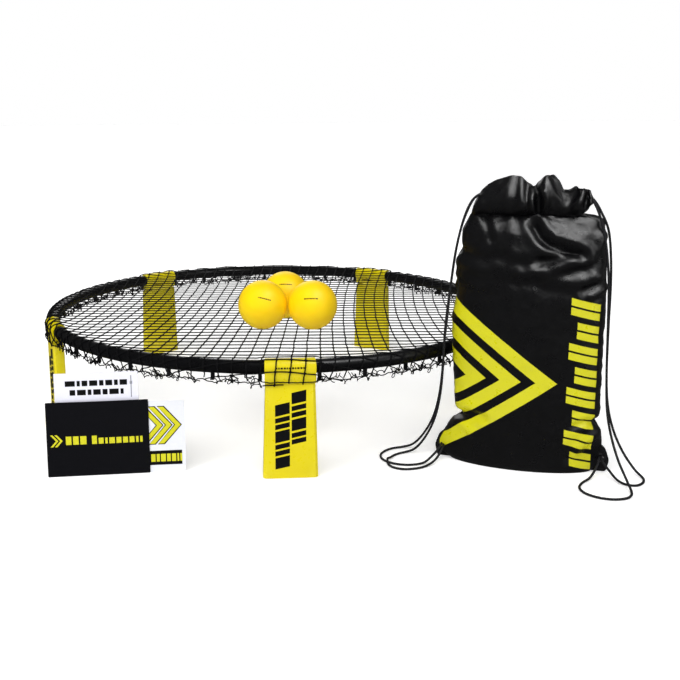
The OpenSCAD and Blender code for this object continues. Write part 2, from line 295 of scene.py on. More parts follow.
def make_rubber():
    m = Mat("ball_rubber", 0.46, 0.3, Subsurface_Weight=0.05, Subsurface_Radius=(0.01, 0.005, 0.001))
    m.colour(m.mix(m.remap(m.noise(22), 0.3, 0.7), srgb(255, 208, 3), srgb(255, 218, 10)))
    m.roughness(0.38, 0.52, 90)
    return m.bump((m.noise(700, 3), 0.0001), (m.noise(2600, 2), 0.00004))


def make_paper(name, base, shade, rough, gloss=0.5):
    m = Mat(name, rough, gloss)
    m.colour(m.mix(m.noise(300, 5), base, shade))
    return m.bump((m.noise(20, 2), 0.0004), (m.noise(1500, 4), 0.00003))


def make_metal(name, colour, rough):
    m = Mat(name, rough, Metallic=1.0)
    m.colour(m.edge_wear(colour, srgb(190, 190, 190)))
    m.roughness(rough - 0.08, rough + 0.12, 500)
    return m.bump((m.noise(1500, 3), 0.00003))


def make_ink(name, base, shade, rough=0.4):
    m = Mat(name, rough, 0.2)
    m.colour(m.mix(m.noise(200, 3), base, shade))
    return m.bump((m.noise(900, 2), 0.00002))


# The darker cord colour is painted shade for the grooves between strands; the lighter one is the cord's
# own colour
CORD_GROOVE_SHADE, CORD_LIGHT = srgb(6, 6, 7), srgb(34, 34, 37)
YELLOW = plastic("yellow_plastic", srgb(212, 196, 7), srgb(206, 189, 5), srgb(236, 225, 98), 0.3, 0.3)
TUBE = plastic("black_tube", srgb(9, 9, 11), srgb(5, 5, 6), srgb(40, 40, 44), 0.3, 0.25)
VALVE = plastic("valve_rubber", srgb(225, 170, 20), srgb(205, 150, 16), srgb(240, 200, 60), 0.5)
TWINE, BRAID, KNOT_BRAID, NYLON = make_twine(), make_braid(), make_knot_braid(), make_nylon()
VINYL, RUBBER = make_vinyl(), make_rubber()
STEEL = make_metal("pin_steel", srgb(150, 150, 152), 0.3)
GUNMETAL = make_metal("eyelet_metal", srgb(62, 62, 66), 0.32)
PAPER_WHITE = make_paper("leaflet_paper", srgb(225, 225, 236), srgb(216, 216, 229), 0.55)
CARD_BLACK = make_paper("card_black", srgb(7, 7, 11), srgb(14, 14, 19), 0.4, 0.3)
STICKER_WHITE = make_paper("sticker_white", srgb(222, 224, 230), srgb(213, 215, 222), 0.3)
INK_BLACK = make_ink("ink_black", srgb(9, 9, 10), srgb(17, 17, 19))
INK_YELLOW = make_ink("ink_yellow", srgb(190, 186, 26), srgb(202, 198, 40))
INK_GREY = make_ink("ink_grey", srgb(120, 122, 130), srgb(150, 152, 160))
THREAD = make_ink("stitch_thread", srgb(26, 26, 28), srgb(44, 44, 47), 0.7)

# ---- mesh helpers


def circle(count, radius=1.0):
    """Points round a circle, starting on its first axis."""
    return [(radius * cos(a), radius * sin(a))
            for a in (2 * pi * k / count for k in range(count))]


class Shape:
    """Vertices and faces, collected piece by piece and made into one object."""

    def __init__(self):
        self.verts, self.faces, self.slots = [], [], []

    def add(self, verts, faces, slot=0):
        n = len(self.verts)
        self.verts += [tuple(v) for v in verts]
        self.faces += [tuple(i + n for i in f) for f in faces]
        self.slots += [slot] * len(faces)

    def loft(self, rings, slot=0, caps=True, closed=False):
        """Skin over rings of equally many points; closed joins the two ends."""
        n, count, faces = len(rings[0]), len(rings), []
        for i in range(count if closed else count - 1):
            a, b = i * n, (i + 1) % count * n
            faces += [(a + k, a + (k + 1) % n, b + (k + 1) % n, b + k) for k in range(n)]
        if caps and not closed:
            faces += [tuple(range(n))[::-1], tuple(range((count - 1) * n, count * n))]
        self.add([p for ring in rings for p in ring], faces, slot)

    def tube(self, points, radius, sides=6, closed=False):
        pts = [Vector(p) for p in points]
        n, rings, normal = len(pts), [], None
        for i, p in enumerate(pts):
            before = pts[i - 1] if closed or i else pts[0]
            after = pts[(i + 1) % n] if closed or i < n - 1 else pts[-1]
            t = (after - before).normalized()
            if normal is None:
                normal = t.orthogonal().normalized()
            normal = (normal - normal.dot(t) * t).normalized()
            side = t.cross(normal)
            rings.append([p + radius * (c * normal + s * side) for c, s in circle(sides)])
        self.loft(rings, 0, True, closed)

    def blob(self, centre, size, turn, lift):
        """A small rounded lump with 18 corners."""
        rot = lift.to_track_quat("Z", "Y").to_matrix() @ Matrix.Rotation(turn, 3, "Z")
        self.add([centre + rot @ (p * Vector(size)) for p in BLOB_POINTS], BLOB_FACES)

    def plate(self, under, over, w, slot=0):
        """Closes two grids of w columns, one above the other, into a thin plate."""
        size, faces = len(under), []
        for k in (row + i for row in range(0, size - w, w) for i in range(w - 1)):
            quad = (k, k + 1, k + 1 + w, k + w)
            faces += [quad[::-1], tuple(i + size for i in quad)]
        rim = [*range(w - 1), *range(w - 1, size - 1, w), *range(size - 1, size - w, -1),
               *range(size - w, 0, -w)]
        faces += [(p, q, q + size, p + size) for p, q in zip(rim, rim[1:] + rim[:1])]
        self.add(under + over, faces, slot)

    def make(self, name, materials, place=None, angle=40):
        me = bpy.data.meshes.new(name)
        me.from_pydata(self.verts, [], self.faces)
        if place is not None:
            me.transform(place)
        for mat in materials:
            me.materials.append(mat)
        me.polygons.foreach_set("material_index", self.slots)
        bm = bmesh.new()
        bm.from_mesh(me)
        bmesh.ops.recalc_face_normals(bm, faces=bm.faces)
        bm.to_mesh(me)
        bm.free()
        smooth(me, angle)
        return add_object(name, me)


def smooth(mesh, angle):
    mesh.shade_smooth()
    mesh.set_sharp_from_angle(angle=radians(angle))


def octahedron():
    """Points and triangles of an octahedron split once, its points out on a sphere."""
    def mid(p, q):
        return tuple((a + b) / 2 for a, b in zip(p, q))
    faces = []
    for x, y, z in product((1, -1), repeat=3):
        a, b, c = (x, 0, 0), (0, y, 0), (0, 0, z)
        ab, bc, ca = mid(a, b), mid(b, c), mid(c, a)
        for f in ((a, ab, ca), (ab, b, bc), (ca, bc, c), (ab, bc, ca)):
            faces.append(f if x * y * z > 0 else f[::-1])
    points = list(dict.fromkeys(p for f in faces for p in f))
    return [Vector(p).normalized() for p in points], [[points.index(p) for p in f] for f in faces]


BLOB_POINTS, BLOB_FACES = octahedron()


def wobble(x, y, z, scale, seed):
    """Smooth noise vector, each part between about -1 and 1."""
    return noise.noise_vector(Vector((x * scale + seed, y * scale, z * scale)))


def finish(obj, body, slot, *replaced):
    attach(obj, body)
    if replaced:
        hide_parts(*replaced)


def paint(material, *names):
    for name in names:
        nodes[name].data.materials.clear()
        nodes[name].data.materials.append(material)


# ---- drawstrings

# Length in metres, then the route in mm along the bag's own axes
CORDS = {
    "left_outer": (0.71, [(-82, 6, 450), (-92, 6, 442), (-101, 5, 424), (-110, 3, 396), (-117, -1, 358),
        (-122, -8, 310), (-127, -18, 250), (-129, -23, 205), (-130, -23, 165), (-135, -14, 116),
        (-145, 0, 72), (-161, 11, 36), (-181, 15, 10), (-203, 11, 2), (-222, -6, 2), (-230, -32, 2),
        (-222, -55, 2), (-201, -68, 2), (-176, -67, 2), (-154, -54, 3), (-140, -36, 12),
        (-131, -16, 21), (-130.1, 6, 24)]),
    "left_inner": (0.71, [(-82, -6, 450), (-92, -8, 442), (-101, -10, 424), (-109, -12, 396),
        (-116, -15, 358), (-121, -20, 310), (-125, -27, 250), (-128, -31, 205), (-129, -31, 160),
        (-133, -23, 114), (-142, -13, 70), (-157, -6, 34), (-175, -5, 9), (-193, -12, 2),
        (-206, -28, 2), (-211, -46, 3.5), (-213, -61, 6.6), (-210, -74, 3.5), (-199, -85, 2),
        (-180, -88, 2), (-160, -78, 2), (-145, -62, 3), (-134, -42, 8), (-127, -20, 19),
        (-125.9, 6, 24)]),
    "right_outer": (0.62, [(82, 6, 450), (93, 8, 443), (105, 9, 424), (117, 10, 397), (123, 10, 358),
        (126, 10, 310), (127, 10, 240), (129, 10, 165), (134, 10, 112), (145, 10, 70), (162, 8, 34),
        (181, 0, 9), (193, -16, 2), (193, -36, 2), (183, -52, 2), (168, -54, 2), (154, -44, 4),
        (141, -28, 13), (131, -14, 21.5), (130.1, 6, 24)]),
    "right_inner": (0.70, [(82, -6, 450), (92, -9, 442), (101, -12, 424), (110, -15, 396),
        (117, -17, 358), (122, -18, 310), (125, -18, 240), (128, -18, 165), (132, -22, 112),
        (140, -32, 74), (152, -48, 40), (166, -66, 14), (173, -86, 2.5), (167, -106, 2), (148, -118, 2),
        (124, -118, 2), (104, -106, 2), (96, -86, 2), (101, -64, 2), (112, -46, 4), (121, -26, 13),
        (125.9, -8, 22), (125.9, 6, 24)]),
}
CORD_D = 0.004


def bezier(curve, knots, cyclic=False, handles="FREE"):
    """Adds a spline to curve; a knot is a point and its two handles."""
    spline = curve.splines.new("BEZIER")
    spline.use_cyclic_u = cyclic
    spline.bezier_points.add(len(knots) - 1)
    for point, knot in zip(spline.bezier_points, knots):
        point.handle_left_type = point.handle_right_type = handles
        point.co, point.handle_left, point.handle_right = knot


def make_cord(side, length, route):
    name = "drawstring_" + side
    curve = bpy.data.curves.new(name, "CURVE")
    curve.dimensions = "3D"
    curve.bevel_depth, curve.bevel_resolution = CORD_D / 2, 4
    curve.resolution_u, curve.use_fill_caps = 8, True
    pts = [Vector(p) * MM for p in route]
    knots = []
    for before, p, after in zip(pts[:1] + pts, pts, pts[1:] + pts[-1:]):
        slope = (after - before) / 6
        handles = [p - slope, p + slope]
        for h in handles:
            h.z = max(h.z, CORD_D / 2)
        knots.append([BAG @ v for v in (p, *handles)])
    bezier(curve, knots)
    curve.materials.append(BRAID)
    obj = add_object(name, curve)
    finish(obj, "bag", "cord_black", "cord_" + side)


for cord_side, cord_facts in CORDS.items():
    make_cord(cord_side, *cord_facts)

# ---- net

PITCH_X, PITCH_Y = 0.0205, 0.0225
WRAP_TUBE, WRAP_HEAD = 0.0127, 0.0154
TOP_A, LOW_A, LOW_HEAD_A = radians(112), radians(-38), radians(-6)
HANG, HEAD_HANG = 0.016, 0.026
TWINE_R = 0.00112


def pulled(x, y):
    """The net is laced askew: its strands lean, and bow near the rim."""
    return x + 0.10 * y + 0.75 * x * y * y, y - 0.02 * x


def over_tube(theta):
    """1 over the bare tube, 0 over a leg head, and smooth between them."""
    gap = min(abs((theta - leg_angle(i) + pi) % (2 * pi) - pi) for i in range(5))
    t = min(1, max(0, (gap - HEAD_HALF) / radians(1.6)))
    return t * t * (3 - 2 * t)


def rim_wrap(theta):
    """Distance of the net from the tube's centre line, wider over the leg heads."""
    return WRAP_HEAD + (WRAP_TUBE - WRAP_HEAD) * over_tube(theta)


def leave_angle(theta):
    """Where round the rim the net lets go of it and hangs down."""
    return LOW_HEAD_A + (LOW_A - LOW_HEAD_A) * over_tube(theta)


def net_flat_r(theta):
    return RIM_R + rim_wrap(theta) * cos(TOP_A)


def net_point(x, y):
    """A point of the flat net in place: level inside the ring, then over the rim."""
    n = wobble(x, y, 0, 26, 3)
    x, y = x + 0.0013 * n.x, y + 0.0013 * n.y
    rho, theta = hypot(x, y), atan2(y, x)
    wrap, rho0 = rim_wrap(theta), net_flat_r(theta)
    if rho <= rho0:
        edge_z = RIM_Z + wrap * sin(TOP_A)
        rise = max(0, 1 - (rho0 - rho) / 0.04) ** 2
        return Vector((x, y, NET_Z + (edge_z - NET_Z) * rise + 0.0004 * n.z))
    run, low = rho - rho0, leave_angle(theta)
    a = max(low, TOP_A - run / wrap)
    extra = max(0, run - (TOP_A - low) * wrap)
    r, z = RIM_R + wrap * cos(a), RIM_Z + wrap * sin(a) - 0.95 * extra
    loose = min(1, extra / 0.012) * (0.15 + 0.85 * over_tube(theta))
    w = wobble(x, y, 1, 60, 9)
    r += 0.0035 * loose * w.x - 0.1 * extra * over_tube(theta)
    z += 0.0045 * loose * w.y
    theta += 0.007 * loose * w.z / RIM_R
    return Vector((r * cos(theta), r * sin(theta), z))


def net_reach(x, y):
    """How far out the cut edge of the flat net lies in this direction."""
    theta = atan2(y, x)
    ragged = 0.008 * wobble(cos(theta), sin(theta), 0, 14, 5).x
    hang = HEAD_HANG if over_tube(theta) < 0.6 else HANG + ragged
    return net_flat_r(theta) + (TOP_A - leave_angle(theta)) * rim_wrap(theta) + hang


def net_strands(s, reach=0.53, step=0.006, fine_from=0.425):
    """Both families of strands; they take finer steps near the rim."""
    for crosswise, pitch in ((False, PITCH_X), (True, PITCH_Y)):
        count = int(reach / pitch)
        for k in range(-count, count + 1):
            runs = [[]]
            for j in range(int(-reach / step), int(reach / step) + 1):
                p = pulled(*((j * step, k * pitch) if crosswise else (k * pitch, j * step)))
                if hypot(*p) > net_reach(*p):
                    runs.append([])
                elif hypot(*p) > fine_from or j % 2 == 0:
                    runs[-1].append(net_point(*p))
            for run in runs:
                if len(run) > 1:
                    s.tube(run, TWINE_R)


def net_knots(s, reach=0.53, near=0.002):
    across, along = int(reach / PITCH_X), int(reach / PITCH_Y)
    for i in range(-across, across + 1):
        for j in range(-along, along + 1):
            x, y = pulled(i * PITCH_X, j * PITCH_Y)
            if hypot(x, y) < net_reach(x, y):
                p = net_point(x, y)
                east = net_point(x + near, y) - net_point(x - near, y)
                north = net_point(x, y + near) - net_point(x, y - near)
                lift, turn = east.cross(north).normalized(), rng.uniform(0, 3)
                s.blob(p, (0.0030, 0.0018, 0.0016), turn, lift)
                s.blob(p, (0.0018, 0.0026, 0.0017), turn + 0.4, lift)


def net_edge_line(s, count=720):
    """The loose line that runs from loop to loop under the rim."""
    pts = []
    for c, d in circle(count):
        over = 1 - over_tube(atan2(d, c))
        w = wobble(c * 3, d * 3, 0.5, 9, 21)
        v = wobble(c * 3, d * 3, 2.5, 30, 4)
        r = RIM_R + 0.006 + 0.004 * w.x * (1 - over) + 0.0105 * over
        z = RIM_Z - 0.0225 + (0.006 * w.y + 0.003 * v.x) * (1 - 0.7 * over) + 0.001 * over
        pts.append((r * c, r * d, z))
    s.tube(pts, TWINE_R * 0.9, 5, closed=True)


def net_slack(s, count=430, whole=16):
    """Slack loops and curled ends that hang from the edge."""
    for _ in range(count):
        a = rng.uniform(0, 2 * pi)
        if over_tube(a) < 0.85:
            continue
        width, drop = rng.uniform(0.006, 0.02) / RIM_R, rng.uniform(0.003, 0.010)
        r, z = RIM_R + rng.uniform(0.001, 0.010), RIM_Z - rng.uniform(0.012, 0.020)
        swing, cut = rng.uniform(-0.006, 0.006), rng.choice((9, whole, whole))
        curl = rng.choice((0.0, 0.0022, 0.0034))
        pts = []
        for t in (j / whole for j in range(cut + 1)):
            spin = 3 * pi * t
            b = a + width * (t - 0.5) + (swing * sin(pi * t) + curl * sin(spin)) / RIM_R
            out = r + 0.3 * swing * t
            pts.append((out * cos(b), out * sin(b),
                        z - drop * sin(pi * t) ** 0.8 + curl * (cos(spin) - 1)))
        s.tube(pts, TWINE_R * 0.72, 5)


def build_net():
    s = Shape()
    net_strands(s)
    net_knots(s)
    net_edge_line(s)
    net_slack(s)
    obj = s.make("net_twine", [TWINE], Matrix.Translation(RING), 60)
    finish(obj, "ring", "net_twine", "net", "net_edge")


build_net()

# ---- ring: tubes, heads, legs

paint(TUBE, *[f"rim_tube_{i}" for i in range(1, 6)], *[f"net_hooks_{i}" for i in range(1, 6)])
paint(STEEL, "hinge_pins")
PIN_X, PIN_DROP, KNUCKLE_R, KNUCKLE_HALF = -0.004, 0.0192, 0.0052, 0.0232
LEG_TOP, LEG_FOOT, LEG_H, LEG_OUT, LEG_IN = 0.040, 0.045, 0.1596, 0.011, -0.009
CHAMFER, CROWN = 0.0042, 0.0005


def round_pin(angles):
    """Points round the pin at the knuckle's radius, seen along the rim."""
    return [(PIN_X + KNUCKLE_R * cos(a), -PIN_DROP + KNUCKLE_R * sin(a))
            for a in map(radians, angles)]


def build_head(i, name):
    """Sleeve over the rim with an apron, and ears on both sides of the leg's knuckle."""
    s = Shape()
    section = [(0.0096, -0.0249), (0.0096, -0.0104)]
    section += [(HEAD_R * cos(a), HEAD_R * sin(a))
                for a in (radians(-48 - 6 * k) for k in range(53))]
    section += [(0.0138, -0.006), (0.0127, -0.0249)]
    s.loft([[((RIM_R + u) * cos(b), (RIM_R + u) * sin(b), RIM_Z + w)
             for u, w in section] for b in (HEAD_HALF * (k / 4 - 1) for k in range(9))])
    ear = [(0.0118, -0.0245), (0.0118, -0.006), (-0.0094, -0.006), *round_pin(range(180, 330, 15))]
    for side in (-1, 1):
        s.loft([[(RIM_R + u, side * y, RIM_Z + w) for u, w in ear]
                for y in (KNUCKLE_HALF + 0.0003, 0.0399)])
    obj = s.make("head_shell_" + name, [YELLOW], ring_turn(i))
    mod = obj.modifiers.new("bevel", "BEVEL")
    mod.width, mod.segments, mod.limit_method = 0.0011, 3, "ANGLE"
    mod.angle_limit = radians(35)
    finish(obj, "ring", "leg_yellow", "head_" + name)


def leg_half(z):
    return LEG_FOOT + (LEG_TOP - LEG_FOOT) * z / LEG_H


def leg_face_x(y, half):
    """Outer face of a leg: very slightly crowned."""
    return LEG_OUT + CROWN * (1 - (y / half) ** 2)


def leg_section(half, inset):
    h, out, back = half - inset, LEG_OUT - inset, LEG_IN + inset
    flat = h - CHAMFER
    side = [(out - 0.0004, flat + 0.0006), (out - 0.0022, h - 0.0006), (out - 0.0029, h),
            (back + 0.0025, h), (back + 0.0008, h - 0.0007), (back, h - 0.0025)]
    return ([(leg_face_x(y, half) - inset, y) for y in np.linspace(-flat, flat, 9)] + side
            + [(x, -y) for x, y in side[::-1]])


def build_leg(i, name):
    s, rings = Shape(), []
    for z, inset in ((0, 0.0014), (0.0005, 0.0005), (0.0016, 0), (0.04, 0), (0.08, 0), (0.12, 0),
                     (LEG_H - 0.0016, 0), (LEG_H - 0.0005, 0.0005), (LEG_H, 0.0014)):
        rings.append([(x, y, z - RIM_Z) for x, y in leg_section(leg_half(z), inset)])
    s.loft(rings)
    knuckle, rounding = [], 0.0006
    for y, shrink in ((-KNUCKLE_HALF, rounding), (-KNUCKLE_HALF + rounding, 0),
                      (KNUCKLE_HALF - rounding, 0), (KNUCKLE_HALF, rounding)):
        k = 1 - shrink / KNUCKLE_R
        knuckle.append([(PIN_X + (x - PIN_X) * k, y, -PIN_DROP + (z + PIN_DROP) * k)
                        for x, z in round_pin(range(0, 360, 12))])
    s.loft(knuckle)
    web = [(-0.008, -0.0228), (0, -0.0228), (0, 0.0228), (-0.008, 0.0228)]
    s.loft([[(x, y, z) for x, y in web] for z in (-0.0256, -PIN_DROP)])
    finish(s.make("leg_blade_" + name, [YELLOW], leg_axes(i), 30),
           "leg_" + name, "leg_yellow", "leg_" + name)


PRINT_UNDER, PRINT_OVER, PRINT_TOP = 0.00015, 0.00022, 0.00036


def slab(s, surface, corners, slot=0, steps=(4, 2), over=PRINT_OVER, under=PRINT_UNDER):
    """A thin printed patch on surface(u, v, lift); corners are (u, v) in order, in mm."""
    (nu, nv), (a, b, c, d) = steps, corners
    grids = []
    for lift in (-under, over):
        grids.append([surface(*[((1 - p) * (1 - q) * a[k] + p * (1 - q) * b[k] + p * q * c[k]
                                 + (1 - p) * q * d[k]) * MM for k in (0, 1)], lift)
                      for q in (j / nv for j in range(nv + 1))
                      for p in (i / nu for i in range(nu + 1))])
    s.plate(*grids, nu + 1, slot)


def bars(s, surface, x, z, height, widths, gap=0.0, slot=0, over=PRINT_OVER, steps=(4, 2)):
    """A row of plain bars, starting at x; sizes in mm."""
    for width in widths:
        slab(s, surface, [(x, z), (x + width, z), (x + width, z + height), (x, z + height)],
             slot, steps, over)
        x += width + gap


# Slanted marks in two columns up the leg: left edge, right edge, foot and height in mm, and
# whether the mark is a pair of thinner bars
LEG_MARKS = [(-25, -1.5, 16 + 22.4 * k, 19, k % 2) for k in range(5)]
LEG_MARKS += [(1.5, 25, 58 + 22.6 * k, 19, (k + 1) % 2) for k in range(4)]
MARK_SLANT = 0.22


def build_leg_print(i, name):
    s = Shape()

    def surface(y, z, lift):
        return (leg_face_x(y, leg_half(z)) + lift, y, z - RIM_Z)

    for left, right, low, height, paired in LEG_MARKS:
        rise = (right - left) * MARK_SLANT
        for start, share in (((0, 0.42), (0.58, 0.42)) if paired else ((0, 1),)):
            a, b = low + start * height, low + (start + share) * height
            slab(s, surface, [(left, a), (right, a + rise), (right, b + rise), (left, b)])
    finish(s.make("leg_print_" + name, [INK_BLACK], leg_axes(i), 30), "leg_" + name, "leg_yellow")


def build_head_print(i, name):
    s = Shape()

    def surface(y, rise, lift):
        a, b = rise / HEAD_R, y / (RIM_R + HEAD_R)
        r = RIM_R + (HEAD_R + lift) * cos(a)
        return (r * cos(b), r * sin(b), RIM_Z + (HEAD_R + lift) * sin(a))

    low, height = (radians(a) * HEAD_R / MM for a in (-1, 12))
    widths = [(3.2, 2.2, 3.6)[k % 3] for k in range(11)]
    bars(s, surface, -24, low, height, widths, 1.4, steps=(2, 3))
    finish(s.make("head_print_" + name, [INK_BLACK], ring_turn(i), 30), "ring", "leg_yellow")


for leg_index, leg_name in enumerate(LEGS):
    build_head(leg_index, leg_name)
    build_head_print(leg_index, leg_name)
    build_leg(leg_index, leg_name)
    build_leg_print(leg_index, leg_name)

# ---- balls

BALL_R, BALL_REST_Z = 0.0445, 0.1952
SEAM_DEPTH, SEAM_WIDTH = 0.00022, 0.6
# Place in plan (mm), tilt of the seam (degrees), turn of the print (radians, then degrees)
BALLS = {"left": ((-21, -225), (12, 8), (0.1, -24, 16)),
         "right": ((69, -231), (-14, 6), (-0.12, -25, -2)),
         "back": ((21, -136), (8, -10), (0.02, -36, 2))}


def build_ball(name, place, tilt, marked):
    """Moulded ball: a fine seam line round it, in a plane of its own, and a printed line."""
    centre = Matrix.Translation(RING + Vector((place[0] * MM, place[1] * MM, BALL_REST_Z + BALL_R)))

    def surface(u, v, lift):
        b, a, r = v / BALL_R, u / BALL_R - pi / 2, BALL_R + lift
        return (r * cos(b) * cos(a), r * cos(b) * sin(a), r * sin(b))

    lats = [-88, -84, -78, *range(-72, -8, 6), -6, -3, -1.4, -0.7, 0, 0.7, 1.4, 3, 6,
            *range(12, 78, 6), 78, 84, 88]
    s, rings = Shape(), []
    for lat in lats:
        r, b = BALL_R - SEAM_DEPTH * exp(-(lat / SEAM_WIDTH) ** 2), radians(lat)
        rings.append([(c, d, r * sin(b)) for c, d in circle(72, r * cos(b))])
    s.loft(rings)
    place = centre @ turned(tilt[0], "Y") @ turned(tilt[1], "X")
    finish(s.make("ball_skin_" + name, [RUBBER], place, 60),
           "ball_" + name, "ball_rubber", "ball_" + name)
    marks = Shape()
    widths = [(2.6, 1.8, 3.2)[(k + len(name)) % 3] for k in range(7)]
    bars(marks, surface, -12, 0, 2.2, widths, 1.0, steps=(2, 2))
    place = (centre @ Matrix.Rotation(marked[0], 4, "Z") @ turned(marked[1], "X")
             @ turned(marked[2], "Y"))
    finish(marks.make("ball_print_" + name, [INK_BLACK], place, 60), "ball_" + name, "ball_rubber")


for ball_name, ball_facts in BALLS.items():
    build_ball(ball_name, *ball_facts)
paint(VALVE, "valve_left", "valve_right", "valve_back")

# ---- bag

# Edge of the bag seen from the front, in mm: height, then distance from the middle
LEFT_EDGE = [(0, -112), (8, -128), (25, -137), (40, -131), (53, -123), (66, -110), (80, -99),
    (92, -105), (104, -110), (140, -113), (200, -116), (253, -118), (290, -112), (315, -113),
    (337, -116), (352, -110), (366, -104), (382, -103), (405, -98), (419, -93)]
RIGHT_EDGE = [(0, 112), (10, 124), (39, 129), (62, 126), (76, 119), (89, 116), (104, 120), (140, 120),
    (196, 120), (267, 121), (337, 117), (380, 113), (405, 110), (413, 108), (417, 104), (419, 94)]
# Depth of the front and the back from the seams, in mm: height, then depth
FRONT_DEPTH = [(0, 36), (10, 42), (60, 46), (120, 49), (200, 50), (270, 48), (330, 46), (362, 44),
    (390, 33), (408, 23), (419, 13)]
BACK_DEPTH = [(0, 32), (10, 38), (60, 45), (120, 50), (200, 52), (270, 50), (330, 45), (365, 39),
    (390, 32), (408, 24), (419, 15)]
# Height of the gathered mouth along the bag's width
MOUTH = [(-95, 436), (-88, 448), (-76, 462), (-56, 473), (-32, 480), (-18, 478), (-8, 468), (1, 463),
    (9, 470), (18, 480), (31, 484), (38, 476), (45, 459), (54, 459), (63, 464), (74, 463), (84, 459),
    (94, 449)]
NECK_Z = 419
SIDE_COLS = 112
HEM_ROWS, LIP_ROWS = 36, 6
# Folds on the front, in mm: points along the fold, its height (minus is a valley), its width
FOLDS = [
    ([(6, 404), (17, 388), (32, 376), (62, 368), (82, 363)], -8.5, 7),
    ([(12, 412), (40, 392), (70, 384), (100, 384)], 2.5, 12),
    ([(82, 363), (53, 347), (30, 334), (-12, 331)], 6.0, 9),
    ([(-30, 332), (-64, 328), (-100, 326)], 2.2, 10),
    ([(18, 352), (48, 356), (74, 361)], -5.0, 8),
    ([(31, 322), (67, 320), (105, 327)], 4.0, 9),
    ([(84, 307), (112, 318)], -3.0, 6),
    ([(96, 297), (117, 309)], 2.6, 5),
    ([(-84, 430), (-66, 402), (-58, 380)], -2.0, 5),
    ([(-104, 357), (-70, 352), (-40, 358)], -3.0, 9),
    ([(-112, 318), (-80, 306), (-50, 310)], 2.4, 8),
    ([(-100, 82), (-84, 90), (-60, 88)], -4.5, 7),
    ([(-120, 62), (-96, 70), (-74, 58)], 3.0, 7),
    ([(117, 88), (100, 92), (84, 84)], -4.0, 6),
    ([(122, 70), (104, 60), (88, 40)], 2.6, 7),
    ([(110, 390), (96, 360), (100, 330)], 2.0, 7),
    ([(60, 60), (74, 30), (84, 8)], -2.0, 7),
]
BACK_FOLDS = [
    ([(-70, 414), (-58, 372), (-66, 330)], -4.0, 8),
    ([(-20, 416), (-10, 380), (-22, 344)], -4.5, 8),
    ([(34, 416), (28, 380), (44, 336)], -4.2, 8),
    ([(78, 412), (70, 370), (90, 320)], -4.0, 8),
    ([(-110, 300), (-50, 280), (20, 296)], 3.4, 11),
    ([(110, 250), (50, 232), (-10, 244)], 3.0, 11),
    ([(-108, 150), (-50, 140), (0, 158)], -2.6, 11),
    ([(-98, 84), (-70, 92), (-40, 84)], -4.0, 8),
    ([(112, 90), (86, 94), (60, 80)], -4.0, 8),
    ([(-60, 8), (-50, 40), (-58, 70)], -2.0, 8),
    ([(60, 8), (66, 44), (52, 80)], 2.4, 9),
]


def along_table(table, x, soft):
    """Straight steps between a table's rows, rounded off over soft mm."""
    xs, ys = zip(*table)
    spread = np.linspace(-1, 1, 9)
    weight = np.exp(-2 * spread ** 2)
    return sum(w * np.interp(x + soft * d, xs, ys) for d, w in zip(spread, weight)) / weight.sum()


def bell(q):
    return np.exp(-q ** 2)


def ramp(x, start, width):
    """Rises from 0 to 1 over width."""
    return np.clip((x - start) / width, 0, 1)


def fold_height(folds, x, z):
    """Sum of the folds' heights at the points x, z (arrays, mm)."""
    total = np.zeros_like(x)
    for line, height, width in folds:
        best = np.full_like(x, 1e9)
        for (ax, az), (bx, bz) in zip(line, line[1:]):
            dx, dz = bx - ax, bz - az
            t = np.clip(((x - ax) * dx + (z - az) * dz) / (dx * dx + dz * dz), 0, 1)
            best = np.minimum(best, np.hypot(x - ax - t * dx, z - az - t * dz))
        q = best / width
        total += height * (bell(q) - 0.45 * bell(q - 1.9))
    return total


def right_share(x):
    """0 on the mouth's smooth left part, 1 on its gathered right part."""
    return ramp(x, -14, 26)


def pleats(x, h, front):
    """Depth of the gathers round the mouth: narrow at the neck, open above it."""
    phase = np.where(front, 0.4, 2.1) + 1.5 * np.sin(x / 15.0) + 2.6 * h * np.sin(x / 17.0 + 1)
    wave = np.sin(2 * np.pi * x / 27 + phase)
    size = np.interp(h, [0, 0.2, 0.6, 0.9, 1], [2.5, 5.5, 9.0, 7.0, 5.0])
    return size * np.sign(wave) * np.abs(wave) ** 0.8


